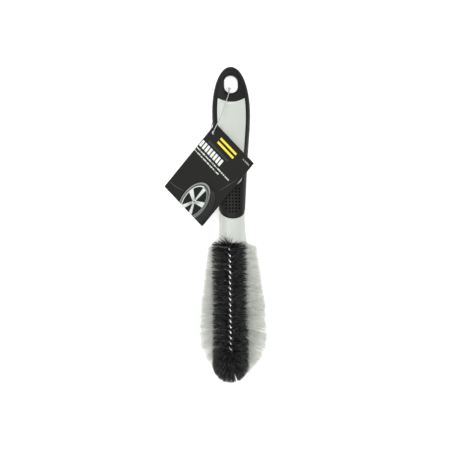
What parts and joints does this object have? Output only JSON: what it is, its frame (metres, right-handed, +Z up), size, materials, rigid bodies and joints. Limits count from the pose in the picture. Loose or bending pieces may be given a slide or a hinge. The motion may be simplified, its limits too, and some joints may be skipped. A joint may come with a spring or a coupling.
{
  "type": "wheel brush",
  "caption": "Hand wheel brush: rubber-gripped handle, straight light twisted-wire brush inside a dark hairpin-loop brush, with a hang tag on a snap loop.",
  "frame": {"origin": "on the table under the middle of the brush as it lies, halfway between its two ends", "axes": "+Y towards the hanging eye, +X to the right seen from above with the eye away from the viewer, +Z up from the table"},
  "size_m": [0.1038, 0.318, 0.0752],
  "materials": {
    "handle_core": "pearl, satin gloss",
    "grip_overmould": "matt, soft touch",
    "core_wire": "bright drawn wire",
    "core_bristles": "translucent off-white filament",
    "loop_wire_a": "bright drawn wire",
    "loop_wire_b": "bright drawn wire",
    "loop_bristles": "black filament with a soft sheen",
    "tag_card": "laminated printed card",
    "tag_strand": "clear nylon monofilament",
    "tag_lock": "clear nylon"
  },
  "bodies": {
    "brush": {"handle_core": "handle_core", "grip_overmould": "grip_overmould", "core_wire": "core_wire", "core_bristles": "core_bristles", "loop_wire_a": "loop_wire_a", "loop_wire_b": "loop_wire_b", "loop_bristles": "loop_bristles"},
    "fastener": {"tag_strand": "tag_strand", "tag_lock": "tag_lock"},
    "tag": {"tag_card": "tag_card"}
  },
  "joints": [
    {"name": "loop_swing", "type": "hinge", "parent": "brush", "child": "fastener", "pos_m": [0, 0.14114, 0.00776], "axis": [0, 0, 1], "range_deg": [-60, 0]},
    {"name": "tag_lift", "type": "hinge", "parent": "fastener", "child": "tag", "pos_m": [-0.0179, 0.0925, 0.0275], "axis": [-0.6382, 0.6896, -0.3422], "range_deg": [0, 30]}
  ]
}
